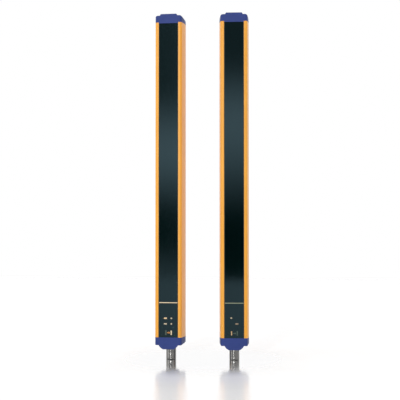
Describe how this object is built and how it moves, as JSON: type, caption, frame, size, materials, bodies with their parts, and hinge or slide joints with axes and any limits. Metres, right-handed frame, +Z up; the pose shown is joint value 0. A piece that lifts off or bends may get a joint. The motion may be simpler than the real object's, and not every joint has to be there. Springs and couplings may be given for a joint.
{
  "type": "safety light curtain",
  "caption": "Pair of slim upright safety light curtain posts, receiver and emitter: extruded housings with a long dark window, moulded end caps and a round connector below each.",
  "frame": {"origin": "level with the ends of the two connectors, midway between the posts and at the middle of their depth", "axes": "+Z up along the posts, away from the connectors; +X from the receiver to the emitter; -Y out of the windows, +Y towards the backs with the T-slots; each post is turned 3 degrees outward about its own axis"},
  "size_m": [0.1116, 0.0413, 0.4122],
  "materials": {
    "housing_yellow": "satin yellow-orange powder coat on extruded aluminium",
    "cap_blue": "fine-grained dark blue moulding",
    "window_dark": "polished near-black sheet that passes infrared",
    "seal_black": "matte black",
    "mark_cream": "cream inlay",
    "screw_steel": "zinc-plated",
    "shell_plated": "nickel-plated, lightly worn sheen",
    "insert_black": "matte black",
    "contact_gilt": "gold-plated",
    "board_green": "solder mask",
    "chip_black": "matte",
    "lens_clear": "clear moulding tinted for infrared",
    "diode_dark": "clear dark resin",
    "diode_clear": "milky resin",
    "guide_clear": "frosted clear",
    "ribbon_grey": "flat grey film",
    "spring_steel": "bright spring strip"
  },
  "bodies": {
    "root": {"receiver_profile": "housing_yellow", "receiver_window": "window_dark", "receiver_window_seals": "seal_black", "receiver_field_mark": "mark_cream", "receiver_top_cap": "cap_blue", "receiver_bottom_cap": "cap_blue", "receiver_top_gasket": "seal_black", "receiver_bottom_gasket": "seal_black", "receiver_cap_screws": "screw_steel", "receiver_connector_shell": "shell_plated", "receiver_connector_seal": "seal_black", "receiver_connector_insert": "insert_black", "receiver_connector_contacts": "contact_gilt", "receiver_connector_board": "board_green", "receiver_retainer_plate": "spring_steel", "receiver_lens_strip": "lens_clear", "receiver_optics_carrier": "insert_black", "receiver_main_board": "board_green", "receiver_control_board": "board_green", "receiver_board_chips": "chip_black", "receiver_status_leds": "diode_clear", "receiver_light_guides": "guide_clear", "receiver_indicator_mask": "insert_black", "receiver_board_ribbon": "ribbon_grey", "receiver_connector_ribbon": "ribbon_grey", "receiver_earth_spring": "spring_steel", "receiver_photodiodes": "diode_dark", "emitter_profile": "housing_yellow", "emitter_window": "window_dark", "emitter_window_seals": "seal_black", "emitter_field_mark": "mark_cream", "emitter_top_cap": "cap_blue", "emitter_bottom_cap": "cap_blue", "emitter_top_gasket": "seal_black", "emitter_bottom_gasket": "seal_black", "emitter_cap_screws": "screw_steel", "emitter_connector_shell": "shell_plated", "emitter_connector_seal": "seal_black", "emitter_connector_insert": "insert_black", "emitter_connector_contacts": "contact_gilt", "emitter_connector_board": "board_green", "emitter_retainer_plate": "spring_steel", "emitter_lens_strip": "lens_clear", "emitter_optics_carrier": "insert_black", "emitter_main_board": "board_green", "emitter_control_board": "board_green", "emitter_board_chips": "chip_black", "emitter_status_leds": "diode_clear", "emitter_light_guides": "guide_clear", "emitter_indicator_mask": "insert_black", "emitter_board_ribbon": "ribbon_grey", "emitter_connector_ribbon": "ribbon_grey", "emitter_earth_spring": "spring_steel", "emitter_infrared_leds": "diode_dark"}
  },
  "joints": []
}
